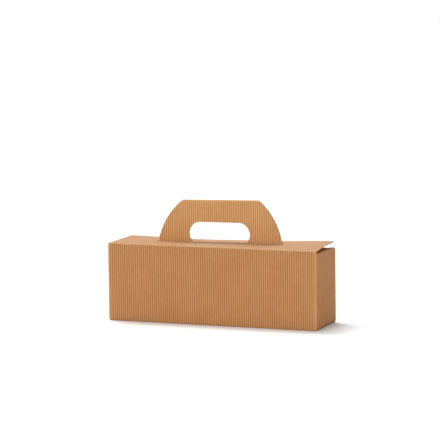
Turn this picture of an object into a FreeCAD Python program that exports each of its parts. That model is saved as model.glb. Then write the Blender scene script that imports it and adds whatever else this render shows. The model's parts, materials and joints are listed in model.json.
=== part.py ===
import FreeCAD, Part
import math
import os

# Carrier box folded from open-fluted kraft board: a glued sleeve with a snap-lock bottom, a lid
# that swings on the front top crease, and a two-ply carrying handle standing in a slit in the lid.
# Millimetres, +Z up, front face towards -Y, origin under the middle of the box.

os.makedirs("parts", exist_ok=True)

# The box as it stands closed.
length = 300.0
depth = 78.0
height = 105.0

# The board: a flat liner inside and open flutes outside.
board = 1.5
flutes_along_front = 96
crease_margin = 2.0
pitch = (length - 2 * crease_margin) / flutes_along_front
flute_depth = 0.9
pressed_crest = 0.9
layer_gap = 0.6

# The crease of a part that moves is a round edge with a little air behind the moving part.
knuckle = board / 2
knuckle_gap = 0.3
crease_band = 1.5

# The lid, its rise from the front crease to the back edge at four even stations, and its slit.
lid_side_gap = 0.5
lift_left = 0.8
lift_dip = -0.8
lift_middle = 0.8
lift_right = 4.3
crown_right = 1.4
slit_front = 3.6
slit_back = 3.1
slit_end_gap = 1.0

# The handle and its finger hole.
handle_centre = -1.3
handle_half_base = 89.9
handle_half_top = 55.2
handle_top_shift = 2.1
handle_rise = 60.55
handle_top_slope = 1.1
handle_sagitta = 6.6
handle_corner = 2.0
ply_gap = 0.3
handle_thickness = 2 * board + ply_gap
hole_centre = -1.8
hole_width = 88.2
hole_height = 32.0
hole_middle_rise = 13.8
foot_inset = 4.5
lip_drop = 5.0

# The flap inside the top that carries the handle, and the dust flaps beside it.
pivot_drop = 1.8
carrier_fall = 0.8
carrier_half_length = 126.0
carrier_taper = 8.0
dust_reach = 58.0
dust_end_gap = 1.5
dust_taper = 9.0
dust_slope = 6.0

# The bottom: the front flap outside, the end flaps over it and the back flap on top, with the
# front flap's tongue tucked in through the back flap's notch.
front_flap_share = 0.52
tongue_half_length = 62.0
tongue_ramp = 9.0
tongue_reach = 18.0
tongue_taper = 8.0
back_flap_reach = 60.0
back_flap_slope = 6.5
end_flap_reach = 70.0
end_flap_taper = 6.0
mitre = 34.0
bottom_side_gap = 1.0

# The glued strip inside the back left corner.
glue_width = 24.0
glue_taper = 5.0

half_length = length / 2
half_depth = depth / 2
lid_axis_y = -half_depth + knuckle
lid_axis_z = height - knuckle
pivot_y = (board + ply_gap) / 2
pivot_z = lid_axis_z - pivot_drop
carrier_top = pivot_z + knuckle
side_top = carrier_top - carrier_fall
second_layer = board + layer_gap
end_foot = second_layer + board
inner_x = half_length - board
inner_y = half_depth - board
handle_half = handle_thickness / 2
handle_top = height + handle_rise
handle_top_fall = handle_half_top * math.tan(math.radians(handle_top_slope))
handle_top_middle = handle_centre + handle_top_shift
handle_foot = carrier_top + knuckle_gap


def flute_points(half, crest=0.0):
    """Flutes across a panel of that half width, one crest in its middle: pairs of place and depth."""
    reach = int(half / pitch)
    points = [(-half, 0.0)]
    for number in range(-reach, reach + 1):
        points += [(number * pitch + edge, 0.0) for edge in sorted({-crest / 2, crest / 2})]
        points.append(((number + 0.5) * pitch, flute_depth))
    return points[:-1] + [(half, 0.0)]


def prism(points, direction):
    """Solid from a closed polygon of 3-D points pushed along a direction."""
    outline = [FreeCAD.Vector(*point) for point in points]
    return Part.Face(Part.makePolygon(outline + outline[:1])).extrude(FreeCAD.Vector(*direction))


def fluted_strip(half, start, crest_z, side, direction, crest=0.0):
    """Board pushed from a section across X at Y start; its crests face up (side 1) or down (-1)."""
    ribs = [(x, start, crest_z - side * inset) for x, inset in flute_points(half, crest)]
    liner = crest_z - side * board
    return prism(ribs + [(half, start, liner), (-half, start, liner)], direction)


def plan(points):
    """Tall column over a plan outline, to cut a flap to its shape."""
    return prism([(x, y, -depth) for x, y in points], (0, 0, height + 2 * depth))


def box(x0, x1, y0, y1, z0, z1):
    """Box between two opposite corners."""
    return Part.makeBox(x1 - x0, y1 - y0, z1 - z0, FreeCAD.Vector(x0, y0, z0))


def quarter_round(start, direction, run, radius, first, turn):
    """Slice of a cylinder: the outside of a fold, from the first spoke through the turn."""
    spoke = FreeCAD.Vector(*first) * radius
    axis = FreeCAD.Vector(*direction)
    origin = FreeCAD.Vector(*start)
    middle = FreeCAD.Rotation(axis, turn / 2).multVec(spoke)
    end = FreeCAD.Rotation(axis, turn).multVec(spoke)
    arc = Part.Arc(origin + spoke, origin + middle, origin + end).toShape()
    edges = [Part.makeLine(origin, origin + spoke), arc, Part.makeLine(origin + end, origin)]
    return Part.Face(Part.Wire(edges)).extrude(axis * run)


def sleeve():
    """Four walls in one piece, flutes outside, with the glued strip inside."""
    sides = ((0, -half_depth, 1, 0, half_length), (half_length, 0, 0, 1, half_depth),
             (0, half_depth, -1, 0, half_length), (-half_length, 0, 0, -1, half_depth))
    outline = []
    for x, y, along_x, along_y, half in sides:
        for place, inset in flute_points(half)[1:-1]:
            outline.append(FreeCAD.Vector(x + along_x * place - along_y * inset,
                                          y + along_y * place + along_x * inset, board))
    band_z = lid_axis_z - crease_band
    block = Part.Face(Part.makePolygon(outline + outline[:1])).extrude(
        FreeCAD.Vector(0, 0, band_z - board))
    flat_half = half_length - crease_margin
    band = prism([(-flat_half, -half_depth, band_z), (flat_half, -half_depth, band_z),
                  (flat_half + board, -inner_y, band_z), (-flat_half - board, -inner_y, band_z)],
                 (0, 0, crease_band))
    rim = side_top - board
    trims = [box(-inner_x, inner_x, -inner_y, inner_y, 0, height),
             box(-half_length, half_length, -inner_y, half_depth, rim, height)]
    trims += [box(min(x, x + side * board), max(x, x + side * board), -inner_y, inner_y, 0, end_foot)
              for side, x in ((1, inner_x), (-1, -inner_x))]
    strip = prism([(-inner_x, inner_y, end_foot + glue_taper), (-inner_x, inner_y, rim - glue_taper),
                   (-inner_x + glue_width, inner_y, rim - 2 * glue_taper),
                   (-inner_x + glue_width, inner_y, end_foot + 2 * glue_taper)], (0, -board, 0))
    return block.cut(trims).fuse([strip, band])


def bottom():
    """Snap-lock bottom: front flap with its tongue, two end flaps and the back flap."""
    half = half_length - bottom_side_gap
    flap_edge = -half_depth + front_flap_share * depth
    front = fluted_strip(half, -inner_y, 0, -1, (0, flap_edge + inner_y, 0), pressed_crest)
    front = front.cut(box(-tongue_half_length, tongue_half_length, flap_edge - tongue_ramp / 2, half_depth,
                          -board, 2 * board))
    front_fold = quarter_round((-half, -inner_y, board), (1, 0, 0), 2 * half, board, (0, -1, 0), 90)
    pieces = [front, front_fold, tongue(flap_edge)] + back_flap(half)
    for side in (-1, 1):
        pieces += end_flap(side)
    return pieces


def back_flap_rise(y):
    """Height of the back flap's underside at y."""
    return (inner_y - y) * math.tan(math.radians(back_flap_slope))


def tongue(flap_edge):
    """The front flap's tongue, up through the notch and down along the back flap's inside."""
    start = flap_edge - tongue_ramp / 2
    top = flap_edge + tongue_ramp / 2
    end = top + tongue_reach
    rise_top = back_flap_rise(top) + board
    rise_end = back_flap_rise(end) + board
    profile = [(start, 0), (top, rise_top), (end, rise_end), (end, rise_end + board), (top, rise_top + board),
               (start, board)]
    sheet = prism([(-tongue_half_length, y, z) for y, z in profile], (2 * tongue_half_length, 0, 0))
    half = tongue_half_length
    return sheet.common(plan([(-half, start), (half, start), (half, top), (half - tongue_taper, end),
                              (tongue_taper - half, end), (-half, top)]))


def back_flap(half):
    """The back flap with mitred ends and the notch for the tongue, sloping up to the front."""
    front_y = inner_y - back_flap_reach
    notch_half = tongue_half_length + bottom_side_gap
    notch_y = -half_depth + front_flap_share * depth + tongue_ramp / 2
    right = [(half, inner_y), (half - mitre, inner_y - mitre), (half - mitre, front_y),
             (notch_half, front_y), (notch_half, notch_y)]
    outline = right + [(-x, y) for x, y in reversed(right)]
    flap = fluted_strip(half, front_y, 0, -1, (0, back_flap_reach, 0)).common(plan(outline))
    flap.rotate(FreeCAD.Vector(0, inner_y, 0), FreeCAD.Vector(1, 0, 0), -back_flap_slope)
    fold = quarter_round((-half, inner_y, board), (1, 0, 0), 2 * half, board, (0, 0, -1), 90)
    return [flap, fold]


def end_flap(side):
    """One end flap, mitred beside the back flap, in the layer over the front flap."""
    wide = inner_y - bottom_side_gap
    gap = bottom_side_gap
    flap = fluted_strip(wide, 0, 0, -1, (0, end_flap_reach, 0)).common(
        plan([(-wide, 0), (wide - gap, 0), (wide - gap - mitre, mitre), (wide - gap - mitre, end_flap_reach),
              (end_flap_taper - wide, end_flap_reach)]))
    flap = laid_inward(flap, second_layer)
    fold = quarter_round((inner_x, -wide, end_foot), (0, 1, 0), 2 * wide - gap, board, (1, 0, 0), 90)
    return [turned(piece, side) for piece in (flap, fold)]


def laid_inward(flap, level):
    """A flap drawn along +Y, laid at that level from the right end wall towards the middle."""
    flap.rotate(FreeCAD.Vector(), FreeCAD.Vector(0, 0, 1), 90)
    flap.translate(FreeCAD.Vector(inner_x, 0, level))
    return flap


def turned(piece, side):
    """The piece itself on the right, or its mirror image on the left."""
    return piece if side > 0 else piece.mirror(FreeCAD.Vector(), FreeCAD.Vector(1, 0, 0))


def dust_flap(side):
    """One dust flap, folded in from the top of its end wall and sloping down."""
    under = side_top - board
    wide = inner_y - dust_end_gap
    narrow = wide - dust_taper
    flap = fluted_strip(wide, 0, board, 1, (0, dust_reach, 0)).common(
        plan([(-wide, 0), (wide, 0), (narrow, dust_reach), (-narrow, dust_reach)]))
    flap = laid_inward(flap, under)
    flap.rotate(FreeCAD.Vector(inner_x, 0, under), FreeCAD.Vector(0, 1, 0), -dust_slope)
    fold = quarter_round((inner_x, -wide, under), (0, 1, 0), 2 * wide, board, (1, 0, 0), -90 - dust_slope)
    return [turned(piece, side) for piece in (flap, fold)]


def carrier_flap():
    """The flap under the lid, rising from the back wall to the crease of the handle."""
    half_front = carrier_half_length - carrier_taper
    under = side_top - board
    band_y = pivot_y + crease_band
    band_rise = carrier_fall * (inner_y - band_y) / (inner_y - pivot_y)
    band_top = side_top + band_rise
    sheet = fluted_strip(carrier_half_length, inner_y, side_top, 1, (0, band_y - inner_y, band_rise))
    band = prism([(-carrier_half_length, y, z) for y, z in ((band_y, band_top - board), (band_y, band_top),
                                                            (pivot_y, carrier_top),
                                                            (pivot_y, carrier_top - board))],
                 (2 * carrier_half_length, 0, 0))
    outline = [(-carrier_half_length, inner_y), (-half_front, pivot_y), (half_front, pivot_y),
               (carrier_half_length, inner_y)]
    flap = sheet.fuse(band).common(plan(outline))
    nose = Part.makeCylinder(knuckle, 2 * half_front, FreeCAD.Vector(-half_front, pivot_y, pivot_z),
                             FreeCAD.Vector(1, 0, 0))
    fold = quarter_round((-carrier_half_length, inner_y, under), (1, 0, 0),
                         2 * carrier_half_length, board, (0, 1, 0), 90)
    return [flap, nose, fold]


def carton():
    """The body: walls, bottom, dust flaps and the flap that carries the handle."""
    crease = Part.makeCylinder(knuckle, length - 2 * crease_margin,
                               FreeCAD.Vector(-half_length + crease_margin, lid_axis_y, lid_axis_z),
                               FreeCAD.Vector(1, 0, 0))
    pieces = [crease] + bottom() + carrier_flap() + dust_flap(-1) + dust_flap(1)
    return sleeve().fuse(pieces).removeSplitter()


def lid_lift(x):
    """Rise of the lid's back edge at x, eased between the four stations."""
    stations = (lift_left, lift_dip, lift_middle, lift_right)
    place = (x / length + 0.5) * (len(stations) - 1)
    first = min(len(stations) - 2, max(0, int(place)))
    share = (1 - math.cos(math.pi * (place - first))) / 2
    return stations[first] * (1 - share) + stations[first + 1] * share


def lid_section(y, back_share, crown_share):
    """Closed outline of the lid across its width at one depth."""
    upper = []
    lower = []
    for x, inset in flute_points(half_length - lid_side_gap):
        rise = back_share * lid_lift(x) + crown_share * crown_right * (x / length + 0.5)
        upper.append(FreeCAD.Vector(x, y, height + rise - inset))
        lower.append(FreeCAD.Vector(x, y, height + rise - board))
    lower = lower[:1] + lower[1:-1:4] + lower[-1:]
    outline = upper + lower[::-1]
    return Part.makePolygon(outline + outline[:1])


def lid():
    """The lid, lifting towards its right end, with the slit for the handle."""
    front = lid_axis_y + knuckle + knuckle_gap
    sections = [lid_section(front, 0.0, 0.0), lid_section(0.0, 0.5, 1.0),
                lid_section(half_depth, 1.0, 0.0)]
    sheet = Part.makeLoft(sections, True, True)
    half = handle_half_base + slit_end_gap
    slit = box(handle_centre - half, handle_centre + half, -slit_front, slit_back,
               height - 2 * board, height + lift_right + board)
    return sheet.cut(slit)


def handle_outline():
    """Solid of the handle's outline, from the lip of the front ply to the rounded top corners."""
    foot_z = handle_foot - lip_drop
    sides = []
    for side in (1, -1):
        base = (handle_centre + side * handle_half_base, height)
        tip = (handle_top_middle + side * handle_half_top, handle_top + side * handle_top_fall)
        chord_x = tip[0] - base[0]
        chord_z = tip[1] - base[1]
        bow = side * handle_sagitta / math.hypot(chord_x, chord_z)
        middle = ((base[0] + tip[0]) / 2 + bow * chord_z, (base[1] + tip[1]) / 2 - bow * chord_x)
        sides.append([FreeCAD.Vector(x, -handle_half, z) for x, z in ((base[0], foot_z), base, middle, tip)])
    edges = []
    for foot, base, middle, tip in sides:
        edges += [Part.makeLine(foot, base), Part.Arc(base, middle, tip).toShape()]
    edges += [Part.makeLine(sides[0][3], sides[1][3]), Part.makeLine(sides[1][0], sides[0][0])]
    plate = Part.Face(Part.Wire(Part.__sortEdges__(edges))).extrude(FreeCAD.Vector(0, handle_thickness, 0))
    tips = [edge for edge in plate.Edges if edge.CenterOfMass.z > handle_top - 2 * handle_top_fall
            and abs(edge.Length - handle_thickness) < ply_gap]
    return plate.makeFillet(handle_corner, tips)


def sloped(piece):
    """The piece turned about the middle of the handle's top, to the slope of its folded top."""
    piece.rotate(FreeCAD.Vector(handle_top_middle, 0, handle_top), FreeCAD.Vector(0, 1, 0), -handle_top_slope)
    return piece


def handle_section():
    """Solid of the two folded plies seen from the end: one rounded top over a long slot."""
    foot_z = lid_axis_z - 2 * lip_drop
    start = FreeCAD.Vector(-half_length, -handle_half, foot_z)
    shoulder = FreeCAD.Vector(-half_length, -handle_half, handle_top - handle_half)
    top = FreeCAD.Vector(-half_length, 0, handle_top)
    far_shoulder = FreeCAD.Vector(-half_length, handle_half, handle_top - handle_half)
    end = FreeCAD.Vector(-half_length, handle_half, foot_z)
    wire = Part.Wire([Part.makeLine(start, shoulder), Part.Arc(shoulder, top, far_shoulder).toShape(),
                      Part.makeLine(far_shoulder, end), Part.makeLine(end, start)])
    slot = box(-half_length, half_length, -ply_gap / 2, ply_gap / 2, foot_z, handle_top - board)
    return sloped(Part.Face(wire).extrude(FreeCAD.Vector(length, 0, 0)).cut(slot))


def finger_hole():
    """Cutters for the hole through both plies and the relief between the back ply's feet."""
    hole_z = height + hole_middle_rise
    radius = hole_height / 2
    straight = hole_width / 2 - radius
    relief = hole_width / 2 - foot_inset
    cutters = [box(hole_centre - straight, hole_centre + straight, -handle_thickness, handle_thickness,
                   hole_z - radius, hole_z + radius),
               box(hole_centre - relief, hole_centre + relief, 0, handle_thickness, handle_foot, hole_z)]
    for side in (-1, 1):
        start = FreeCAD.Vector(hole_centre + side * straight, -handle_thickness, hole_z)
        cutters.append(Part.makeCylinder(radius, 2 * handle_thickness, start, FreeCAD.Vector(0, 1, 0)))
    return cutters


def handle():
    """Two plies folded at the top, flutes outside; the front ply ends in a lip inside the box."""
    foot_z = handle_foot - lip_drop
    wave = flute_points(handle_half_base + pitch)
    front = [(x, inset - handle_half, foot_z) for x, inset in wave]
    back = [(x, handle_half - inset, foot_z) for x, inset in reversed(wave)]
    shoulder = handle_top - handle_half
    cap = sloped(box(-half_length, half_length, -handle_half, handle_half, shoulder, shoulder + height))
    slab = prism(front + back, (0, 0, height)).cut(cap).fuse(cap)
    under_back_ply = box(-half_length, half_length, 0, handle_thickness, foot_z, handle_foot)
    plies = slab.common(handle_outline().common(handle_section()))
    return plies.cut(finger_hole() + [under_back_ply]).removeSplitter()


for name, shape in (("carton", carton()), ("lid", lid()), ("handle", handle())):
    shape.exportStep("parts/" + name + ".step")
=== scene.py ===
"""Carrier box of open-fluted kraft board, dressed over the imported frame.

The board is one flat liner with a waved paper glued to it, flutes outside. Every panel is cut flat,
folded along its own path and set in the frame's place, so the flutes run on over the folds.
"""
import json
import logging
import math
from dataclasses import dataclass, field
from enum import Enum
from typing import Callable, Iterable, Sequence

import bmesh
import bpy
from mathutils import Matrix, Vector


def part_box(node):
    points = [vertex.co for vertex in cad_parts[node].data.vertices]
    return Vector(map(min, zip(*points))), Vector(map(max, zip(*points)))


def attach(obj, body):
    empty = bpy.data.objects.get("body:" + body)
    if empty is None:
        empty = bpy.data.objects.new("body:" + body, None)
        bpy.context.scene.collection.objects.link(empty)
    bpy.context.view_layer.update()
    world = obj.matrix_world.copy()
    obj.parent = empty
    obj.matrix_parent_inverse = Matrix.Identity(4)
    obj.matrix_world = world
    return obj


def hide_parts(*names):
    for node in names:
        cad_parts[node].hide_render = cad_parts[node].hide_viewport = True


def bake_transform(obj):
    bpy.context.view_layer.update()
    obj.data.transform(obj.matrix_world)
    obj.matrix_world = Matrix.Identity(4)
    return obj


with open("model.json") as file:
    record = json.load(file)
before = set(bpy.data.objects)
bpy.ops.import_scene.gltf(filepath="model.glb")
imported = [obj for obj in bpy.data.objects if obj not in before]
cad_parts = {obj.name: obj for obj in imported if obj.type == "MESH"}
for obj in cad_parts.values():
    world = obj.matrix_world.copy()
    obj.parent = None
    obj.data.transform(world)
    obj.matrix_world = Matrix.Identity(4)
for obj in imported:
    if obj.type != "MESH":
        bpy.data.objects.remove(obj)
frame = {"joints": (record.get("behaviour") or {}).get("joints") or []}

log = logging.getLogger("carrier_box")

MM = 0.001
SHARP_ANGLE = math.radians(55)
Point2 = tuple[float, float]


class Wall(Enum):
    """The four walls, each by the way it faces."""
    FRONT = (0.0, -1.0, 0.0)
    RIGHT = (1.0, 0.0, 0.0)
    BACK = (0.0, 1.0, 0.0)
    LEFT = (-1.0, 0.0, 0.0)


class Body(Enum):
    """The rigid bodies of the frame."""
    CARTON = "carton"
    LID = "lid"
    HANDLE = "handle"


class Slot(Enum):
    """The record's material slots."""
    CARTON = "board"
    LID = "board_lid"
    HANDLE = "board_handle"


def linear(code: str) -> tuple[float, float, float, float]:
    """Turns an sRGB hex colour into the linear colour that a shader takes.

    Args:
        code: six hex digits after a hash.

    Returns:
        Linear red, green, blue and an alpha of 1.
    """
    parts = [int(code[place:place + 2], 16) / 255 for place in (1, 3, 5)]
    red, green, blue = (part / 12.92 if part <= 0.04045 else ((part + 0.055) / 1.055) ** 2.4
                        for part in parts)
    return red, green, blue, 1.0


def add_node(tree: bpy.types.NodeTree, kind: str, links: dict | None = None, values: dict | None = None,
             **settings) -> bpy.types.Node:
    """Adds one shader node with its settings, constants and incoming links.

    Args:
        tree: the material's or world's node tree.
        kind: the node's type name.
        links: input name or place to the output socket that feeds it.
        values: input name or place to a constant.
        settings: attributes of the node itself.

    Returns:
        The new node.
    """
    node = tree.nodes.new(kind)
    for name, value in settings.items():
        setattr(node, name, value)
    for name, value in (values or {}).items():
        node.inputs[name].default_value = value
    for name, output in (links or {}).items():
        tree.links.new(output, node.inputs[name])
    return node


def smooth_share(value: float) -> float:
    """Eases a value from 0 to 1, flat at both ends and held outside them."""
    held = min(1.0, max(0.0, value))
    return held * held * (3 - 2 * held)


@dataclass(frozen=True)
class KraftPaper:
    """Unbleached kraft: a brown, matt paper of long soft fibres that scatter light evenly.

    It was made on a paper machine, so its fibres cloud the colour softly and a few darker shives show.
    The valleys between the crests are painted darker as painted shade, where the wave shades itself; the
    crests are a little rubbed and paler.
    Loose fibres on its face give it a soft white sheen at a flat angle.
    """
    name: str
    body: str
    pale: str
    dark: str
    valley_shade: str
    roughness: float = 0.65
    specular: float = 0.3
    sheen: float = 0.5
    fibre: float = 0.45 * MM
    cloud: float = 22 * MM
    fleck: float = 0.9 * MM
    fibre_height: float = 0.03 * MM
    cloud_spread: tuple[float, float] = (0.3, 0.7)
    fibre_spread: tuple[float, float] = (0.56, 0.74)
    fibre_share: float = 0.5
    fleck_spread: tuple[float, float] = (0.02, 0.16)
    fleck_share: float = 0.35

    def material(self) -> bpy.types.Material:
        """Builds the paper's node material.

        Returns:
            A material whose colour follows fibre, cloud, fleck and the crest attribute.
        """
        made = bpy.data.materials.new(self.name)
        made.use_nodes = True
        tree = made.node_tree
        tree.nodes.clear()
        place = add_node(tree, "ShaderNodeTexCoord").outputs["Object"]
        clouds = add_node(tree, "ShaderNodeTexNoise", {"Vector": place},
                          {"Scale": 1 / self.cloud, "Detail": 3.0, "Roughness": 0.6})
        fibres = add_node(tree, "ShaderNodeTexNoise", {"Vector": place},
                          {"Scale": 1 / self.fibre, "Detail": 2.0, "Roughness": 0.7})
        flecks = add_node(tree, "ShaderNodeTexVoronoi", {"Vector": place},
                          {"Scale": 1 / self.fleck, "Randomness": 1.0})
        crest = add_node(tree, "ShaderNodeAttribute", attribute_name="crest").outputs["Fac"]
        blotch = add_node(tree, "ShaderNodeMapRange", {"Value": clouds.outputs["Fac"]},
                          {"From Min": self.cloud_spread[0], "From Max": self.cloud_spread[1]})
        clouded = add_node(tree, "ShaderNodeMix", {"Factor": blotch.outputs["Result"]},
                           {6: linear(self.body), 7: linear(self.pale)}, data_type="RGBA")
        shade = add_node(tree, "ShaderNodeMapRange", {"Value": fibres.outputs["Fac"]},
                         {"From Min": self.fibre_spread[0], "From Max": self.fibre_spread[1],
                          "To Max": self.fibre_share})
        fibred = add_node(tree, "ShaderNodeMix", {"Factor": shade.outputs["Result"], 6: clouded.outputs[2]},
                          {7: linear(self.dark)}, data_type="RGBA")
        speck = add_node(tree, "ShaderNodeMapRange", {"Value": flecks.outputs["Distance"]},
                         {"From Min": self.fleck_spread[0], "From Max": self.fleck_spread[1],
                          "To Min": self.fleck_share, "To Max": 0.0})
        flecked = add_node(tree, "ShaderNodeMix", {"Factor": speck.outputs["Result"], 6: fibred.outputs[2]},
                           {7: linear(self.dark)}, data_type="RGBA")
        # Painted shade: the colour darkens towards the valley colour as the crest share falls, where the
        # wave shades itself.
        low = add_node(tree, "ShaderNodeMapRange", {"Value": crest}, {"To Min": 1.0, "To Max": 0.0})
        coloured = add_node(tree, "ShaderNodeMix", {"Factor": low.outputs["Result"], 6: flecked.outputs[2]},
                            {7: linear(self.valley_shade)}, data_type="RGBA")
        bump = add_node(tree, "ShaderNodeBump", {"Height": fibres.outputs["Fac"]},
                        {"Strength": 0.5, "Distance": self.fibre_height})
        shader = add_node(tree, "ShaderNodeBsdfPrincipled",
                          {"Base Color": coloured.outputs[2], "Normal": bump.outputs["Normal"]},
                          {"Roughness": self.roughness, "Specular IOR Level": self.specular, "IOR": 1.5,
                           "Sheen Weight": self.sheen, "Sheen Roughness": 0.3})
        add_node(tree, "ShaderNodeOutputMaterial", {"Surface": shader.outputs["BSDF"]})
        return made


# Waved kraft paper as it comes off the roll: warm brown crests over valleys painted darker as painted shade.
FLUTING = KraftPaper("kraft_fluting_paper", body="#D09560", pale="#D9A06C", dark="#A9723F", valley_shade="#A36D3D")
# The same paper on the lid, painted paler and greyer: painted top light and painted sheen for the light that
# falls on its upper face.
LID_FLUTING_PAINTED_LIGHT = KraftPaper("kraft_fluting_paper_rubbed", body="#D3A373", pale="#DDAE7F", dark="#B08050",
                         valley_shade="#A67748")
# The same paper on the handle, painted lighter and yellower as painted light, where it takes the light
# fully.
HANDLE_FLUTING_PAINTED_LIGHT = KraftPaper("kraft_fluting_paper_pale", body="#DFA971", pale="#E9B67F", dark="#B6824B",
                            valley_shade="#B07D48")
# Flat liner board, calendered: an even brown with no wave to shade it.
LINER = KraftPaper("kraft_liner_board", body="#BF8B58", pale="#C89562", dark="#A06F3E", valley_shade="#BF8B58")
# Die-cut edges show the torn inner fibres: pale, dry and fully matt.
CUT_EDGE = KraftPaper("die_cut_kraft_edge", body="#C3A07A", pale="#CDAE8B", dark="#A07B52", valley_shade="#B08A62",
                      roughness=0.95, fibre=0.25 * MM)


@dataclass(frozen=True)
class Board:
    """Open-fluted board: the liner inside, the waved paper outside."""
    thickness: float = 1.5 * MM
    liner: float = 0.35 * MM
    paper: float = 0.25 * MM
    flutes_along_front: int = 96
    crease_margin: float = 2.0 * MM
    steps: int = 10
    crushed: float = 0.42
    crush_reach: float = 3.0 * MM

    @property
    def wave(self) -> float:
        """Depth of the paper's outer face from crest to valley."""
        return self.thickness - self.liner - self.paper

    def pitch(self, length: float) -> float:
        """Distance from flute to flute on a box of that length."""
        return (length - 2 * self.crease_margin) / self.flutes_along_front


@dataclass(frozen=True)
class Leg:
    """A flat run of board and the fold that ends it; a positive turn folds away from the flutes."""
    length: float
    turn: float = 0.0
    radius: float = 0.0

    @property
    def arc(self) -> float:
        """Length of the fold along its outer face."""
        return abs(math.radians(self.turn)) * self.radius


class FoldPath:
    """A folded section: where a point of the flat board goes once the folds are made."""

    def __init__(self, legs: Sequence[Leg]) -> None:
        """Keeps the legs in order, the first heading along the first axis."""
        self.legs = list(legs)

    def place(self, distance: float, height: float) -> Point2:
        """Finds a point's place in the plane of the section.

        Args:
            distance: how far along the outer face.
            height: height over the outer face, negative inside.

        Returns:
            The point along the first leg's direction and along its outward normal.
        """
        spot = Vector((0.0, 0.0))
        heading = 0.0
        left = distance
        for number, leg in enumerate(self.legs):
            along = Vector((math.cos(heading), math.sin(heading)))
            out = Vector((-along.y, along.x))
            last = number == len(self.legs) - 1
            if left <= leg.length or (last and not leg.arc):
                return tuple(spot + along * left + out * height)
            spot += along * leg.length
            left -= leg.length
            if leg.arc:
                side = 1 if leg.turn > 0 else -1
                angle = -side * min(left / leg.arc, 1.0) * abs(math.radians(leg.turn))
                centre = spot - out * side * leg.radius
                heading_now = heading + angle
                out_now = Vector((-math.sin(heading_now), math.cos(heading_now)))
                if left <= leg.arc:
                    return tuple(centre + out_now * (side * leg.radius + height))
                spot = centre + out_now * side * leg.radius
                heading = heading_now
                left -= leg.arc
        along = Vector((math.cos(heading), math.sin(heading)))
        return tuple(spot + along * left + Vector((-along.y, along.x)) * height)

    def stations(self, bend_steps: int, flat_step: float) -> list[float]:
        """Distances at which the flat board needs a row of points.

        Args:
            bend_steps: rows in each quarter turn.
            flat_step: longest distance between rows on a flat run.

        Returns:
            The distances, in order.
        """
        marks: list[float] = []
        start = 0.0
        for leg in self.legs:
            count = max(1, math.ceil(leg.length / flat_step))
            marks += [start + leg.length * step / count for step in range(count + 1)]
            start += leg.length
            if leg.arc:
                count = max(2, math.ceil(bend_steps * abs(leg.turn) / 90))
                marks += [start + leg.arc * step / count for step in range(count + 1)]
                start += leg.arc
        return sorted(set(round(mark, 7) for mark in marks))

    def folds(self) -> list[tuple[float, float]]:
        """Start and end of each fold along the outer face."""
        found: list[tuple[float, float]] = []
        start = 0.0
        for leg in self.legs:
            start += leg.length
            if leg.arc:
                found.append((start, start + leg.arc))
                start += leg.arc
        return found


def arc_points(start: Point2, middle: Point2, end: Point2, steps: int) -> list[Point2]:
    """Points on the arc through three points.

    Args:
        start: first point.
        middle: a point between the ends.
        end: last point.
        steps: spans along the arc.

    Returns:
        The points from start to end, both included.
    """
    (ax, ay), (bx, by), (cx, cy) = start, middle, end
    scale = 2 * (ax * (by - cy) + bx * (cy - ay) + cx * (ay - by))
    a2, b2, c2 = ax * ax + ay * ay, bx * bx + by * by, cx * cx + cy * cy
    x = (a2 * (by - cy) + b2 * (cy - ay) + c2 * (ay - by)) / scale
    y = (a2 * (cx - bx) + b2 * (ax - cx) + c2 * (bx - ax)) / scale
    radius = math.hypot(ax - x, ay - y)
    first, via, last = (math.atan2(py - y, px - x) for px, py in (start, middle, end))
    turn = (last - first) % (2 * math.pi)
    if (via - first) % (2 * math.pi) > turn:
        turn -= 2 * math.pi
    return [(x + radius * math.cos(first + turn * step / steps),
             y + radius * math.sin(first + turn * step / steps)) for step in range(steps + 1)]


def circle_points(centre: Point2, radius: float, first: float, last: float, steps: int) -> list[Point2]:
    """Points on a circle from one angle to another, in degrees."""
    return [(centre[0] + radius * math.cos(math.radians(first + (last - first) * step / steps)),
             centre[1] + radius * math.sin(math.radians(first + (last - first) * step / steps)))
            for step in range(steps + 1)]


def rectangle(left: float, low: float, right: float, high: float) -> list[Point2]:
    """Corners of an upright rectangle on the flat board."""
    return [(left, low), (right, low), (right, high), (left, high)]


def mesh_object(name: str, shape: bmesh.types.BMesh) -> bpy.types.Object:
    """Turns a bmesh into a linked object at the origin and frees the bmesh."""
    mesh = bpy.data.meshes.new(name)
    shape.to_mesh(mesh)
    shape.free()
    made = bpy.data.objects.new(name, mesh)
    bpy.context.scene.collection.objects.link(made)
    return made


def prism(name: str, outline: Sequence[Point2], reach: float) -> bpy.types.Object:
    """A cutter with that outline across the flat board.

    Args:
        name: the cutter's name.
        outline: its corners in the plane of the board.
        reach: how far it stands over and under the board.

    Returns:
        The cutter, to be deleted once it has cut.
    """
    shape = bmesh.new()
    corners = [shape.verts.new((x, y, -reach)) for x, y in outline]
    face = shape.faces.new(corners)
    grown = bmesh.ops.extrude_face_region(shape, geom=[face])
    moved = [item for item in grown["geom"] if isinstance(item, bmesh.types.BMVert)]
    bmesh.ops.translate(shape, verts=moved, vec=(0, 0, 2 * reach))
    bmesh.ops.recalc_face_normals(shape, faces=shape.faces[:])
    return mesh_object(name, shape)


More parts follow.
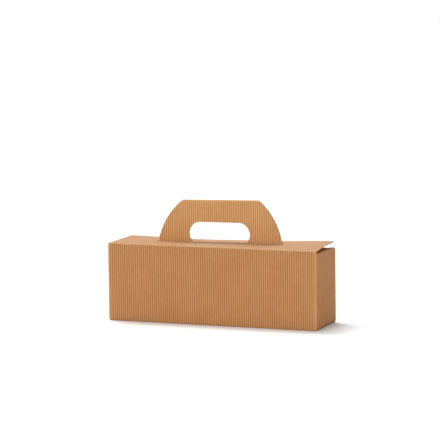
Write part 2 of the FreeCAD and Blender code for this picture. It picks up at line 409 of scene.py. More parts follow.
@dataclass
class BoardRun:
    """One strip of the blank: cut flat, folded along its path and set in place."""
    name: str
    width: float
    path: FoldPath
    across: Vector
    along: Vector
    outward: Vector
    origin: Vector
    outline: Sequence[Point2] | None = None
    holes: Sequence[Sequence[Point2]] = ()
    depth_at: Callable[[float], float] | None = None
    folds_across: bool = False
    warp: Callable[[Vector], Vector] | None = None
    flat_step: float = 14 * MM
    liner_step: float = 6 * MM
    bend_steps: int = 6
    crush_rows: int = 3
    crush_ends: tuple[bool, bool] = (False, False)
    board: Board = field(default_factory=Board)
    pitch: float = 3.08 * MM

    @property
    def reach(self) -> float:
        """Length of the flat board along its path."""
        return sum(leg.length + leg.arc for leg in self.path.legs)

    def flute_depth(self, spot: float) -> float:
        """Depth of the waved paper under its crests at a place across the flutes."""
        if self.depth_at:
            return self.depth_at(spot)
        return self.board.wave * (1 - math.cos(2 * math.pi * spot / self.pitch)) / 2

    def crush(self, distance: float) -> float:
        """Share of its height that the wave keeps beside the folds that cross it."""
        share = 1.0
        gaps = [max(first - distance, distance - last, 0.0) for first, last in self.path.folds()]
        if self.crush_ends[0]:
            gaps.append(distance)
        if self.crush_ends[1]:
            gaps.append(self.reach - distance)
        for gap in gaps:
            share = min(share, smooth_share(gap / self.board.crush_reach))
        return self.board.crushed + (1 - self.board.crushed) * share

    def sheet(self, waved: bool) -> bpy.types.Object:
        """Cuts one flat layer of the board, with its thickness.

        Args:
            waved: the fluted paper when true, or the liner.

        Returns:
            The closed flat layer, across in x, along in y and outward in z.
        """
        board = self.board
        wide, long = (self.reach, self.width) if self.folds_across else (self.width, self.reach)
        columns = round(wide / self.pitch) * board.steps if waved else max(1, round(wide / self.liner_step))
        shape = bmesh.new()
        bmesh.ops.create_grid(shape, x_segments=columns, y_segments=1, size=0.5)
        start = 0.0 if self.folds_across else -wide / 2
        for vertex in shape.verts:
            vertex.co.x = start + (vertex.co.x + 0.5) * wide
            vertex.co.y = (vertex.co.y + 0.5) * long
            vertex.co.z = -self.flute_depth(vertex.co.x) if waved else -(board.thickness - board.liner)
        made = mesh_object(self.name + ("_paper" if waved else "_liner"), shape)
        wall = made.modifiers.new("wall", "SOLIDIFY")
        wall.thickness = board.paper if waved else board.liner
        wall.offset = -1
        wall.use_even_offset = waved
        wall.material_offset_rim = 1
        made.data.materials.append(FINISHES["paper" if waved else "liner"])
        made.data.materials.append(FINISHES["edge"])
        return made

    def cut(self, layer: bpy.types.Object) -> bmesh.types.BMesh:
        """Cuts the outline and the holes through a layer.

        Args:
            layer: the flat layer, which is deleted.

        Returns:
            What is left of it, as a bmesh.
        """
        cutters: list[bpy.types.Object] = []
        jobs = [("INTERSECT", self.outline)] if self.outline else []
        jobs += [("DIFFERENCE", hole) for hole in self.holes]
        for number, (kind, points) in enumerate(jobs):
            cutter = prism(f"{self.name}_cutter_{number}", points, 4 * self.board.thickness)
            cutter.data.materials.append(FINISHES["edge"])
            step = layer.modifiers.new(f"cut_{number}", "BOOLEAN")
            step.operation = kind
            step.object = cutter
            step.solver = "EXACT"
            step.material_mode = "TRANSFER"
            cutters.append(cutter)
        bpy.context.view_layer.update()
        graph = bpy.context.evaluated_depsgraph_get()
        shape = bmesh.new()
        shape.from_mesh(layer.evaluated_get(graph).to_mesh())
        for done in [layer] + cutters:
            mesh = done.data
            bpy.data.objects.remove(done)
            bpy.data.meshes.remove(mesh)
        return shape

    def fold(self, shape: bmesh.types.BMesh, waved: bool) -> None:
        """Adds the rows that the folds need, then folds the flat layer and sets it in place.

        Args:
            shape: the cut layer, changed in place.
            waved: whether it is the fluted paper.
        """
        flat = Vector((1, 0, 0)) if self.folds_across else Vector((0, 1, 0))
        marks = self.path.stations(self.bend_steps, self.flat_step)
        if waved and not self.folds_across:
            step = self.board.crush_reach / self.crush_rows
            for first, last in self.path.folds() + [(0.0, 0.0), (self.reach, self.reach)]:
                for row in range(1, self.crush_rows + 1):
                    marks += [first - step * row, last + step * row]
        if not (waved and self.folds_across):
            for mark in sorted(set(marks)):
                if 0 < mark < self.reach:
                    bmesh.ops.bisect_plane(shape, geom=shape.verts[:] + shape.edges[:] + shape.faces[:],
                                           plane_co=flat * mark, plane_no=flat, dist=1e-7)
        # The crest share steers the painted shade of the valleys in the paper's colour.
        crest = shape.verts.layers.float.new("crest")
        for vertex in shape.verts:
            x, y, height = vertex.co
            across, along = (y, x) if self.folds_across else (x, y)
            vertex[crest] = 1 - self.flute_depth(x) / self.board.wave if waved else 0.0
            if waved and not self.folds_across:
                height *= self.crush(along)
            a, b = self.path.place(along, height)
            spot = self.origin + self.across * across + self.along * a + self.outward * b
            vertex.co = self.warp(spot) if self.warp else spot

    def layers(self) -> list[bmesh.types.BMesh]:
        """Makes the fluted paper and the liner of this run, folded and in place."""
        made: list[bmesh.types.BMesh] = []
        for waved in (True, False):
            shape = self.cut(self.sheet(waved))
            self.fold(shape, waved)
            made.append(shape)
        return made


FINISHES: dict[str, bpy.types.Material] = {}


def make_piece(name: str, runs: Iterable[BoardRun], slot: Slot) -> bpy.types.Object:
    """Joins the layers of some runs into one piece.

    Args:
        name: the piece's name.
        runs: the strips of board that it is made of.
        slot: the record's slot that it takes its finish from.

    Returns:
        The finished piece, at the origin.
    """
    whole = bmesh.new()
    whole.verts.layers.float.new("crest")
    for run in runs:
        for number, layer in enumerate(run.layers()):
            for face in layer.faces:
                face.material_index = 2 if face.material_index else number
            mesh = bpy.data.meshes.new(name + "_part")
            layer.to_mesh(mesh)
            layer.free()
            whole.from_mesh(mesh)
            bpy.data.meshes.remove(mesh)
    for face in whole.faces:
        face.smooth = True
    for edge in whole.edges:
        if len(edge.link_faces) == 2:
            edge.smooth = edge.calc_face_angle(0.0) < SHARP_ANGLE
    made = mesh_object(name, whole)
    # Lid and handle take lighter copies of the paper: painted light where the light falls most.
    papers = {Slot.LID: "lid_paper", Slot.HANDLE: "handle_paper"}
    for finish in (papers.get(slot, "paper"), "liner", "edge"):
        made.data.materials.append(FINISHES[finish])
    log.info("%s: %d faces", name, len(made.data.polygons))
    return made


@dataclass
class BoxPlan:
    """Where the box stands in the frame, and the few sizes that every panel shares."""
    low: Vector
    high: Vector
    handle_axis: Vector
    board: Board = field(default_factory=Board)
    corner: float = 1.5 * MM
    fold: float = 1.5 * MM
    lid_start: float = 2.0 * MM
    crease_rise: float = 1.6 * MM
    carrier_fall: float = 0.8 * MM
    layer_gap: float = 0.6 * MM
    cut_slack: float = 1 * MM
    root_slack: float = 0.5 * MM

    @classmethod
    def from_frame(cls) -> "BoxPlan":
        """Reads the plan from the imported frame."""
        low, high = (Vector(corner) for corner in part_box("carton"))
        joints = {joint["name"]: Vector(joint["pos_m"]) for joint in frame["joints"]}
        return cls(low, high, joints["handle_tilt"])

    @property
    def length(self) -> float:
        """Outside length of the box."""
        return self.high.x - self.low.x

    @property
    def depth(self) -> float:
        """Outside depth of the box."""
        return self.high.y - self.low.y

    @property
    def pitch(self) -> float:
        """Distance from flute to flute."""
        return self.board.pitch(self.length)

    @property
    def lid_top(self) -> float:
        """Top of the lid at its crease, which springs up a little over the solid's round edge."""
        return self.high.z + self.crease_rise

    @property
    def carrier_top(self) -> float:
        """Top of the inner flap at the crease of the handle."""
        return self.handle_axis.z + self.board.thickness / 2

    @property
    def side_top(self) -> float:
        """Top of the folds of the end and back walls."""
        return self.carrier_top - self.carrier_fall

    def facing(self, wall: Wall, rising: bool) -> tuple[Vector, Vector, Vector]:
        """Axes of a run on a wall: across the flutes, along them and outward."""
        outward = Vector(wall.value)
        along = Vector((0, 0, 1 if rising else -1))
        return along.cross(outward), along, outward

    def run(self, name: str, wall: Wall, rising: bool, level: float, legs: Sequence[Leg], width: float,
            **more) -> BoardRun:
        """A run of board that leaves the top or foot of a wall.

        Args:
            name: the run's name.
            wall: the wall that it leaves.
            rising: up from the wall's top, or down from its foot.
            level: height at which it starts.
            legs: its flat runs and folds.
            width: its width across the flutes.
            more: further fields of the run.

        Returns:
            The run, ready to be made.
        """
        across, along, outward = self.facing(wall, rising)
        half = self.depth / 2 if wall in (Wall.FRONT, Wall.BACK) else self.length / 2
        origin = outward * half + Vector((0, 0, level))
        return BoardRun(name, width, FoldPath(legs), across, along, outward, origin, board=self.board,
                        pitch=self.pitch, **more)


@dataclass
class Sleeve:
    """The four walls, folded from one strip with the glued strip inside the back left corner."""
    plan: BoxPlan
    glue_width: float = 22 * MM
    corner_reach: float = 3.5 * MM
    corner_crush: float = 0.45
    left_bow: float = 1.0 * MM
    left_bow_from: float = 100 * MM
    right_bow: float = 2.0 * MM
    right_bow_from: float = 120 * MM
    bow_fullness: float = 0.6

    def legs(self) -> list[Leg]:
        """The strip's runs and vertical folds, from the glued strip round to the back wall."""
        plan = self.plan
        bend = plan.corner
        inner = plan.board.thickness
        return [Leg(self.glue_width, 90, bend), Leg(plan.depth - inner - 2 * bend, 90, bend),
                Leg(plan.length - 2 * bend, 90, bend), Leg(plan.depth - 2 * bend, 90, bend),
                Leg(plan.length - bend)]

    def middles(self) -> list[float]:
        """Where each run has the middle of its wall, on which a crest lies."""
        plan = self.plan
        bend = plan.corner
        side = plan.depth / 2 - bend
        front = plan.length / 2 - bend
        return [self.glue_width / 2, side - plan.board.thickness, front, side, front]

    def flute_depth(self, spot: float) -> float:
        """Depth of the wave at a place along the strip, pressed flat at the vertical folds."""
        start = 0.0
        board = self.plan.board
        for leg, middle in zip(self.legs(), self.middles()):
            if spot <= start + leg.length:
                offset = spot - start - middle
                edge = min(spot - start, start + leg.length - spot, self.corner_reach)
                share = self.corner_crush + (1 - self.corner_crush) * smooth_share(edge / self.corner_reach)
                return share * board.wave * (1 - math.cos(2 * math.pi * offset / self.plan.pitch)) / 2
            start += leg.length + leg.arc
        return 0.0

    def bow(self, spot: Vector) -> Vector:
        """Sets the front left and the back right edge out a little, as the standing box has sprung.

        The walls have rows at their feet and rims alone, so an edge stays straight between them.
        """
        plan = self.plan
        height = min(1.0, max(0.0, spot.z / plan.side_top))
        rise = max(0.0, math.sin(math.pi * height)) ** self.bow_fullness
        near = 0.5 - spot.y / plan.depth
        half = plan.length / 2
        left = smooth_share((-spot.x - self.left_bow_from) / (half - self.left_bow_from)) * near
        right = smooth_share((spot.x - self.right_bow_from) / (half - self.right_bow_from)) * (1 - near)
        return spot + Vector((rise * (right * self.right_bow - left * self.left_bow), 0, 0))

    def build(self) -> bpy.types.Object:
        """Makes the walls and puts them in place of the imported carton."""
        plan = self.plan
        path = FoldPath(self.legs())
        foot = plan.fold
        front_top = plan.lid_top - plan.lid_start
        rim = plan.side_top - plan.fold
        end_foot = plan.board.thickness + plan.layer_gap + plan.fold
        starts = [0.0]
        for leg in path.legs:
            starts.append(starts[-1] + leg.length + leg.arc)
        slack = plan.cut_slack
        over = front_top - foot + slack
        front_left = starts[2] - plan.corner
        back_right = starts[4] - plan.corner
        low_rims = [rectangle(-slack, rim - foot, front_left, over),
                    rectangle(starts[3], rim - foot, starts[5] + slack, over)]
        raised_ends = [rectangle(-slack, -slack, front_left, end_foot - foot),
                       rectangle(starts[3], -slack, back_right, end_foot - foot)]
        origin = Vector((plan.low.x + plan.corner + self.glue_width,
                         plan.high.y - plan.board.thickness, foot))
        walls = BoardRun("walls", front_top - foot, path, Vector((0, 0, 1)), Vector((-1, 0, 0)),
                         Vector((0, 1, 0)), origin, holes=low_rims + raised_ends, depth_at=self.flute_depth,
                         folds_across=True, warp=self.bow, board=plan.board, pitch=plan.pitch)
        piece = make_piece("sleeve_walls", [walls], Slot.CARTON)
        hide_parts("carton")
        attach(piece, Body.CARTON.value)
        return piece


@dataclass
class Bottom:
    """Snap-lock bottom: front flap outside with its tongue, end flaps, and the back flap inside."""
    plan: BoxPlan
    front_share: float = 0.52
    side_gap: float = 1.0 * MM
    tongue_half: float = 62 * MM
    tongue_ramp: float = 9 * MM
    tongue_reach: float = 18 * MM
    tongue_taper: float = 8 * MM
    tongue_lift: float = 2.1 * MM
    tongue_bend: float = 3 * MM
    back_reach: float = 60 * MM
    back_slope: float = 6.5
    end_reach: float = 70 * MM
    end_taper: float = 6 * MM
    mitre: float = 34 * MM

    def front(self) -> list[BoardRun]:
        """The front flap and its tongue."""
        plan = self.plan
        half = plan.length / 2 - self.side_gap
        flat = self.front_share * plan.depth - plan.fold
        arc = math.pi / 2 * plan.fold
        ramp_start = arc + flat - self.tongue_ramp / 2
        outline = [(-half, 0), (half, 0), (half, arc + flat), (self.tongue_half, arc + flat),
                   (self.tongue_half, ramp_start), (-self.tongue_half, ramp_start),
                   (-self.tongue_half, arc + flat), (-half, arc + flat)]
        flap = plan.run("front_flap", Wall.FRONT, False, plan.fold, [Leg(0, 90, plan.fold), Leg(flat)],
                        2 * half, outline=outline, crush_ends=(False, False))
        climb = 2 * plan.board.thickness + self.tongue_lift
        rise = math.degrees(math.atan2(climb, self.tongue_ramp))
        slant = math.hypot(climb, self.tongue_ramp)
        bend = self.tongue_bend
        tongue_length = slant + self.tongue_reach
        wide = self.tongue_half
        narrow = wide - self.tongue_taper
        tongue = BoardRun(
            "tongue", 2 * wide,
            FoldPath([Leg(0, rise, bend), Leg(slant - 2 * bend * math.radians(rise)),
                      Leg(0, -(rise + self.back_slope), bend), Leg(self.tongue_reach)]),
            Vector((-1, 0, 0)), Vector((0, 1, 0)), Vector((0, 0, -1)),
            Vector((0, plan.low.y + plan.fold + flat - self.tongue_ramp / 2, 0)),
            outline=[(-wide, -plan.cut_slack), (wide, -plan.cut_slack), (wide, slant),
                     (narrow, tongue_length), (-narrow, tongue_length), (-wide, slant)],
            board=plan.board, pitch=plan.pitch)
        return [flap, tongue]

    def back(self) -> BoardRun:
        """The back flap, mitred at its ends and notched for the tongue."""
        plan = self.plan
        half = plan.length / 2 - self.side_gap
        turn = 90 + self.back_slope
        arc = math.radians(turn) * plan.fold
        notch_half = self.tongue_half + self.side_gap
        notch = plan.depth * (1 - self.front_share) - self.tongue_ramp / 2 - plan.fold
        near = half - self.mitre
        far = arc + self.back_reach
        right = [(half, arc), (near, arc + self.mitre), (near, far), (notch_half, far),
                 (notch_half, arc + notch)]
        root = -plan.root_slack
        outline = [(half, root)] + right + [(-x, y) for x, y in reversed(right)] + [(-half, root)]
        return plan.run("back_flap", Wall.BACK, False, plan.fold,
                        [Leg(0, turn, plan.fold), Leg(self.back_reach)], 2 * half, outline=outline)

    def end(self, wall: Wall) -> BoardRun:
        """One end flap, mitred beside the back flap."""
        plan = self.plan
        wide = plan.depth / 2 - plan.board.thickness - self.side_gap
        back = 1 if wall is Wall.LEFT else -1
        arc = math.pi / 2 * plan.fold
        near = wide - self.side_gap
        root = -plan.root_slack
        corners = [(-wide, root), (near, root), (near, arc), (near - self.mitre, arc + self.mitre),
                   (near - self.mitre, arc + self.end_reach), (self.end_taper - wide, arc + self.end_reach)]
        outline = [(back * x, y) for x, y in corners]
        level = plan.board.thickness + plan.layer_gap + plan.fold
        return plan.run(wall.name.lower() + "_end_flap", wall, False, level,
                        [Leg(0, 90, plan.fold), Leg(self.end_reach)], 2 * wide, outline=outline)

    def build(self) -> list[bpy.types.Object]:
        """Makes the flaps of the bottom."""
        pieces = [make_piece("bottom_front_flap", self.front(), Slot.CARTON),
                  make_piece("bottom_back_flap", [self.back()], Slot.CARTON),
                  make_piece("bottom_right_flap", [self.end(Wall.RIGHT)], Slot.CARTON),
                  make_piece("bottom_left_flap", [self.end(Wall.LEFT)], Slot.CARTON)]
        for piece in pieces:
            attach(piece, Body.CARTON.value)
        return pieces


@dataclass
class InnerTop:
    """What lies under the lid: a dust flap at each end and the flap that carries the handle."""
    plan: BoxPlan
    dust_reach: float = 58 * MM
    dust_gap: float = 1.5 * MM
    dust_taper: float = 9 * MM
    dust_slope: float = 6.0
    carrier_half: float = 126 * MM
    carrier_taper: float = 8 * MM
    crease_room: float = 1.5 * MM

    def dust(self, wall: Wall) -> BoardRun:
        """One dust flap, folded in from the top of an end wall."""
        plan = self.plan
        wide = plan.depth / 2 - plan.board.thickness - self.dust_gap
        narrow = wide - self.dust_taper
        turn = 90 + self.dust_slope
        arc = math.radians(turn) * plan.fold
        root = -plan.root_slack
        outline = [(-wide, root), (wide, root), (wide, arc), (narrow, arc + self.dust_reach),
                   (-narrow, arc + self.dust_reach), (-wide, arc)]
        return plan.run(wall.name.lower() + "_dust_flap", wall, True, plan.side_top - plan.fold,
                        [Leg(0, turn, plan.fold), Leg(self.dust_reach)], 2 * wide, outline=outline)

    def carrier(self) -> BoardRun:
        """The flap from the back wall to the crease of the handle."""
        plan = self.plan
        flat = plan.depth / 2 - plan.fold - plan.handle_axis.y - self.crease_room
        slope = math.degrees(math.atan2(plan.carrier_fall, flat))
        turn = 90 - slope
        arc = math.radians(turn) * plan.fold
        wide = self.carrier_half
        narrow = wide - self.carrier_taper
        root = -plan.root_slack
        outline = [(-wide, root), (wide, root), (wide, arc), (narrow, arc + flat), (-narrow, arc + flat),
                   (-wide, arc)]
        return plan.run("carrier_flap", Wall.BACK, True, plan.side_top - plan.fold,
                        [Leg(0, turn, plan.fold), Leg(flat)], 2 * wide, outline=outline)

    def build(self) -> list[bpy.types.Object]:
        """Makes the flaps under the lid."""
        pieces = [make_piece("dust_flap_right", [self.dust(Wall.RIGHT)], Slot.CARTON),
                  make_piece("dust_flap_left", [self.dust(Wall.LEFT)], Slot.CARTON),
                  make_piece("carrier_flap", [self.carrier()], Slot.CARTON)]
        for piece in pieces:
            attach(piece, Body.CARTON.value)
        return pieces


@dataclass
class Lid:
    """The lid: one panel on the front crease, lifting towards its right end, with the slit."""
    plan: BoxPlan
    side_gap: float = 0.5 * MM
    lifts: tuple[float, float, float, float] = (1.1 * MM, -0.7 * MM, 0.7 * MM, 3.9 * MM)
    crown_right: float = 1.4 * MM
    slit_centre: float = -1.3 * MM
    slit_half: float = 90.9 * MM
    slit_front: float = 3.6 * MM
    slit_back: tuple[float, float] = (4.9 * MM, 6.3 * MM)
    right_taper: float = 1.6 * MM
    row_step: float = 6 * MM

    def back_lift(self, x: float) -> float:
        """Rise of the back edge at x, eased between four even stations."""
        place = (x / self.plan.length + 0.5) * (len(self.lifts) - 1)
        first = min(len(self.lifts) - 2, max(0, int(place)))
        share = (1 - math.cos(math.pi * min(1.0, max(0.0, place - first)))) / 2
        return self.lifts[first] * (1 - share) + self.lifts[first + 1] * share

    def warp(self, spot: Vector) -> Vector:
        """Lifts a point of the lid as the real one has sprung up."""
        plan = self.plan
        front = plan.low.y + plan.lid_start
        share = max(0.0, (spot.y - front) / (plan.high.y - front))
        middle = -front / (plan.high.y - front)
        back = self.back_lift(spot.x)
        crown = self.crown_right * (spot.x / plan.length + 0.5)
        if share <= middle:
            rise = (0.5 * back + crown) * share / middle
        else:
            rise = 0.5 * back + crown + (0.5 * back - crown) * (share - middle) / (1 - middle)
        return spot + Vector((0, 0, rise))

    def panel(self) -> BoardRun:
        """The flat of the lid behind its fold."""
        plan = self.plan
        half = self.slit_half
        centre = self.slit_centre
        ahead = plan.depth / 2 - plan.lid_start
        slit = [(centre - half, ahead - self.slit_front), (centre + half, ahead - self.slit_front),
                (centre + half, ahead + self.slit_back[1]), (centre - half, ahead + self.slit_back[0])]
        wide = plan.length / 2 - self.side_gap
        deep = plan.depth - plan.lid_start
        slack = plan.cut_slack
        narrow = wide - self.right_taper
        outline = [(-wide - slack, -slack), (wide, -slack), (wide, 0.0), (narrow, deep),
                   (narrow, deep + slack), (-wide - slack, deep + slack)]
        origin = Vector((0, plan.low.y + plan.lid_start, plan.lid_top))
        return BoardRun("lid_panel", 2 * wide, FoldPath([Leg(deep)]),
                        Vector((1, 0, 0)), Vector((0, 1, 0)), Vector((0, 0, 1)), origin,
                        outline=outline, holes=[slit], warp=self.warp, crush_ends=(True, False),
                        board=plan.board, pitch=plan.pitch, flat_step=self.row_step)

    def crease(self) -> BoardRun:
        """The fold between the front wall and the lid."""
        plan = self.plan
        flat = plan.lid_start - plan.fold
        return plan.run("lid_crease", Wall.FRONT, True, plan.lid_top - plan.lid_start,
                        [Leg(flat, 90, plan.fold), Leg(flat)], plan.length - 2 * self.side_gap)

    def build(self) -> list[bpy.types.Object]:
        """Makes the lid and its fold, a curved strip that lies between the carton and the lid."""
        panel = make_piece("lid_panel", [self.panel()], Slot.LID)
        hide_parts("lid")
        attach(panel, Body.LID.value)
        crease = make_piece("lid_crease", [self.crease()], Slot.LID)
        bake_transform(crease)
        return [panel, crease]


@dataclass
class Handle:
    """The handle: one strip folded over its top into two plies, with the finger hole."""
    plan: BoxPlan
    centre: float = -1.3 * MM
    half_base: float = 89.9 * MM
    half_top: float = 54.7 * MM
    top_shift: float = 1.6 * MM
    rise: float = 60.55 * MM
    top_slope: float = 1.1
    sagitta: float = 6.6 * MM
    corner: float = 0.8 * MM
    ply_gap: float = 0.3 * MM
    hole_centre: float = -1.8 * MM
    hole_width: float = 88.2 * MM
    hole_height: float = 32 * MM
    hole_rise: float = 13.8 * MM
    foot_inset: float = 4.5 * MM
    lip_drop: float = 5 * MM
    crease_room: float = 1.5 * MM
    crease_bend: float = 0.4 * MM
    hole_steps: int = 18
    side_steps: int = 28
    spare: float = 4 * MM

    @property
    def half(self) -> float:
        """Half the thickness of the two plies."""
        return self.plan.board.thickness + self.ply_gap / 2

    @property
    def foot(self) -> float:
        """Height at which the back ply leaves its crease."""
        return self.plan.carrier_top + self.crease_room

    def side(self, way: int) -> list[Point2]:
        """One bowed side from its foot to its top, right for 1 and left for -1."""
        foot = Vector((self.centre + way * self.half_base, self.plan.high.z))
        head = Vector((self.centre + self.top_shift + way * self.half_top, self.plan.high.z + self.rise))
        chord = head - foot
        bow = Vector((chord.y, -chord.x)).normalized() * way * self.sagitta
        return arc_points(tuple(foot), tuple((foot + head) / 2 + bow), tuple(head), self.side_steps)

    def edge(self, way: int) -> list[Point2]:
        """One side of the flat strip: up the back ply, over the top and down the front ply."""
        top = self.plan.high.z + self.rise - self.half
        flat = top - self.foot
        curve = self.side(way)
        rising = [(curve[0][0], 0.0)] + [(x, z - self.foot) for x, z in curve if z < top - self.corner]
        rising.append((curve[-1][0], flat + self.corner))
        whole = flat * 2 + math.pi * self.half
        lip = whole + self.foot - (self.plan.carrier_top - self.lip_drop)
        return rising + [(x, whole - y) for x, y in reversed(rising[1:])] + [(curve[0][0], lip)]

    def outline(self) -> list[Point2]:
        """Outline of the flat strip."""
        return self.edge(1) + list(reversed(self.edge(-1)))

    def hole(self, flip: bool) -> list[Point2]:
        """Outline of the finger hole on the flat strip, on the back ply or mirrored to the front."""
        radius = self.hole_height / 2
        straight = self.hole_width / 2 - radius
        level = self.plan.high.z + self.hole_rise - self.foot
        right = circle_points((straight, level), radius, -90, 90, self.hole_steps)
        left = circle_points((-straight, level), radius, 90, 270, self.hole_steps)
        points = [(self.hole_centre + x, y) for x, y in right + left]
        if flip:
            whole = (self.plan.high.z + self.rise - self.half - self.foot) * 2 + math.pi * self.half
            points = [(x, whole - y) for x, y in reversed(points)]
        return points

    def relief(self) -> list[Point2]:
        """The opening between the back ply's feet."""
        inner = self.hole_width / 2 - self.foot_inset
        level = self.plan.high.z + self.hole_rise - self.foot
        return rectangle(self.hole_centre - inner, -2 * self.plan.cut_slack, self.hole_centre + inner, level)

    def slope(self, spot: Vector) -> Vector:
        """Lifts the top towards the right end, where the real handle stands a little higher."""
        share = min(1.0, max(0.0, (spot.z - self.plan.high.z) / self.rise))
        lift = math.tan(math.radians(self.top_slope)) * (spot.x - self.centre - self.top_shift)
        return spot + Vector((0, 0, share * lift))

    def strip(self) -> BoardRun:
        """The whole handle as one folded strip."""
        plan = self.plan
        flat = plan.high.z + self.rise - self.half - self.foot
        lip = self.foot - (plan.carrier_top - self.lip_drop)
        return BoardRun("handle_strip", 2 * self.half_base + self.spare,
                        FoldPath([Leg(flat, 180, self.half), Leg(flat + lip)]),
                        Vector((-1, 0, 0)), Vector((0, 0, 1)), Vector((0, 1, 0)),
                        Vector((0, self.half, self.foot)),
                        outline=[(-x, y) for x, y in reversed(self.outline())],
                        holes=[[(-x, y) for x, y in reversed(points)]
                               for points in (self.hole(False), self.hole(True), self.relief())],
                        warp=self.slope, board=plan.board, pitch=plan.pitch)

    def crease(self, side: int) -> BoardRun:
        """The concave fold under one foot, from the carrier flap up into the back ply."""
        plan = self.plan
        inner = self.hole_centre + side * (self.hole_width / 2 - self.foot_inset)
        outer = self.centre + side * self.half_base
        width = abs(outer - inner)
        middle = (outer + inner) / 2
        bend = self.crease_bend
        start = plan.handle_axis.y + self.crease_room
        return BoardRun("handle_crease", width,
                        FoldPath([Leg(start - self.half - bend, -90, bend),
                                  Leg(self.foot - plan.carrier_top - bend)]),
                        Vector((-1, 0, 0)), Vector((0, -1, 0)), Vector((0, 0, 1)),
                        Vector((middle, start, plan.carrier_top)),
                        board=plan.board, pitch=plan.pitch,
                        depth_at=lambda spot: plan.board.wave
                        * (1 - math.cos(2 * math.pi * (spot - middle) / plan.pitch)) / 2)

    def build(self) -> list[bpy.types.Object]:
        """Makes the handle and the creases under its feet."""
        strip = make_piece("handle_plies", [self.strip()], Slot.HANDLE)
        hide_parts("handle")
        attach(strip, Body.HANDLE.value)
        crease = make_piece("handle_creases", [self.crease(-1), self.crease(1)], Slot.HANDLE)
        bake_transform(crease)
        return [strip, crease]


@dataclass(frozen=True)
class SoftLamp:
    """One distant soft lamp: the way to it, how wide it looks in degrees, and its strength."""
    name: str
    towards: tuple[float, float, float]
    angle: float
    strength: float

    def hang(self) -> None:
        """Hangs the lamp so that it shines on the box."""
        towards = Vector(self.towards)
        data = bpy.data.lights.new(self.name, "SUN")
        data.angle = math.radians(self.angle)
        data.energy = self.strength
        made = bpy.data.objects.new(self.name, data)
        bpy.context.scene.collection.objects.link(made)
        made.location = towards
        made.rotation_euler = (-towards).to_track_quat("-Z", "Y").to_euler()


# Two halves of one long softbox over the back left, which give the soft shadow to the right.
KEY_NEAR = SoftLamp("key_softbox_near", (-0.211, 0.237, 0.948), 17, 1.05)
KEY_FAR = SoftLamp("key_softbox_far", (-0.408, 0.143, 0.902), 17, 1.05)
# A weak one from the front left, which lights the front wall and the handle.
FILL = SoftLamp("fill_softbox", (-0.3, -0.9, 0.33), 20, 1.05)


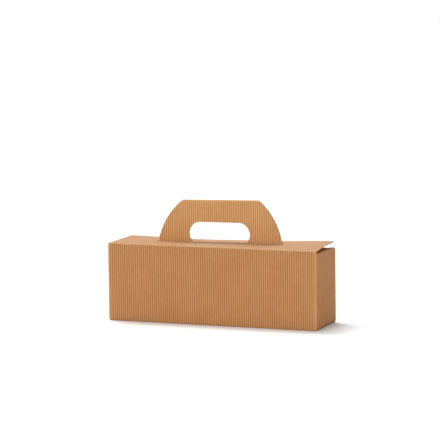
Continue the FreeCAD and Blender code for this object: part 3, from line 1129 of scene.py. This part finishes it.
@dataclass
class Studio:
    """White sweep, soft lights and the camera of the photograph."""
    yaw: float = 21.72
    pitch: float = 6.76
    roll: float = 0.62
    focal_pixels: float = 2187.0
    frame_pixels: float = 440.0
    sensor: float = 36.0
    eye: tuple[float, float, float] = (1.083, -2.7208, 0.4852)
    clip: tuple[float, float] = (0.05, 50.0)
    floor_half: float = 6.0
    floor_lit: str = "#D9D9D9"
    floor_seen: str = "#F2F2F2"
    room_level: float = 0.6
    lamps: tuple[SoftLamp, ...] = (KEY_NEAR, KEY_FAR, FILL)

    def camera(self) -> None:
        """Sets the camera where the photograph was taken."""
        data = bpy.data.cameras.new("photo_camera")
        data.sensor_width = self.sensor
        data.lens = self.focal_pixels / self.frame_pixels * self.sensor
        data.clip_start, data.clip_end = self.clip
        made = bpy.data.objects.new("photo_camera", data)
        bpy.context.scene.collection.objects.link(made)
        yaw, pitch, roll = (math.radians(angle) for angle in (self.yaw, self.pitch, self.roll))
        right = Vector((math.cos(yaw), math.sin(yaw), 0))
        ahead = Vector((-math.sin(yaw) * math.cos(pitch), math.cos(yaw) * math.cos(pitch), -math.sin(pitch)))
        up = right.cross(ahead)
        right, up = (right * math.cos(roll) - up * math.sin(roll),
                     right * math.sin(roll) + up * math.cos(roll))
        turn = Matrix((right, up, -ahead)).transposed()
        made.matrix_world = Matrix.Translation(Vector(self.eye)) @ turn.to_4x4()
        bpy.context.scene.camera = made

    def floor(self) -> None:
        """Lays the white floor that keeps the object's soft shadow."""
        shape = bmesh.new()
        bmesh.ops.create_grid(shape, x_segments=1, y_segments=1, size=self.floor_half)
        made = mesh_object("floor", shape)
        material = bpy.data.materials.new("white_sweep_paper")
        material.use_nodes = True
        tree = material.node_tree
        tree.nodes.clear()
        rays = add_node(tree, "ShaderNodeLightPath")
        plain = add_node(tree, "ShaderNodeBsdfDiffuse", values={"Color": linear(self.floor_lit)})
        white = add_node(tree, "ShaderNodeBsdfDiffuse", values={"Color": linear(self.floor_seen)})
        mixed = add_node(tree, "ShaderNodeMixShader",
                         {0: rays.outputs["Is Camera Ray"], 1: plain.outputs[0], 2: white.outputs[0]})
        add_node(tree, "ShaderNodeOutputMaterial", {"Surface": mixed.outputs[0]})
        made.data.materials.append(material)

    def world(self) -> None:
        """Lights the room evenly and shows white behind the floor."""
        world = bpy.data.worlds.new("studio")
        bpy.context.scene.world = world
        world.use_nodes = True
        tree = world.node_tree
        tree.nodes.clear()
        rays = add_node(tree, "ShaderNodeLightPath")
        seen = add_node(tree, "ShaderNodeMath",
                        {0: rays.outputs["Is Camera Ray"], 1: rays.outputs["Is Glossy Ray"]},
                        operation="MAXIMUM")
        room = add_node(tree, "ShaderNodeBackground",
                        values={"Color": linear("#FFFFFF"), "Strength": self.room_level})
        white = add_node(tree, "ShaderNodeBackground", values={"Color": linear("#FFFFFF"), "Strength": 1.0})
        mixed = add_node(tree, "ShaderNodeMixShader",
                         {0: seen.outputs[0], 1: room.outputs[0], 2: white.outputs[0]})
        add_node(tree, "ShaderNodeOutputWorld", {"Surface": mixed.outputs[0]})

    def build(self) -> None:
        """Sets camera, floor, world and lamps."""
        self.camera()
        self.floor()
        self.world()
        for lamp in self.lamps:
            lamp.hang()
        bpy.context.scene.view_settings.view_transform = "Standard"


def main() -> None:
    """Builds the box in the frame, then its studio."""
    logging.basicConfig(level=logging.INFO, format="%(name)s: %(message)s")
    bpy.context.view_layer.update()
    for name, finish in (("paper", FLUTING), ("lid_paper", LID_FLUTING_PAINTED_LIGHT), ("handle_paper", HANDLE_FLUTING_PAINTED_LIGHT),
                         ("liner", LINER), ("edge", CUT_EDGE)):
        FINISHES[name] = finish.material()
    plan = BoxPlan.from_frame()
    for part in (Sleeve(plan), Bottom(plan), InnerTop(plan), Lid(plan), Handle(plan)):
        log.info("built %s", type(part).__name__)
        part.build()
    Studio().build()


if __name__ == "__main__":
    main()
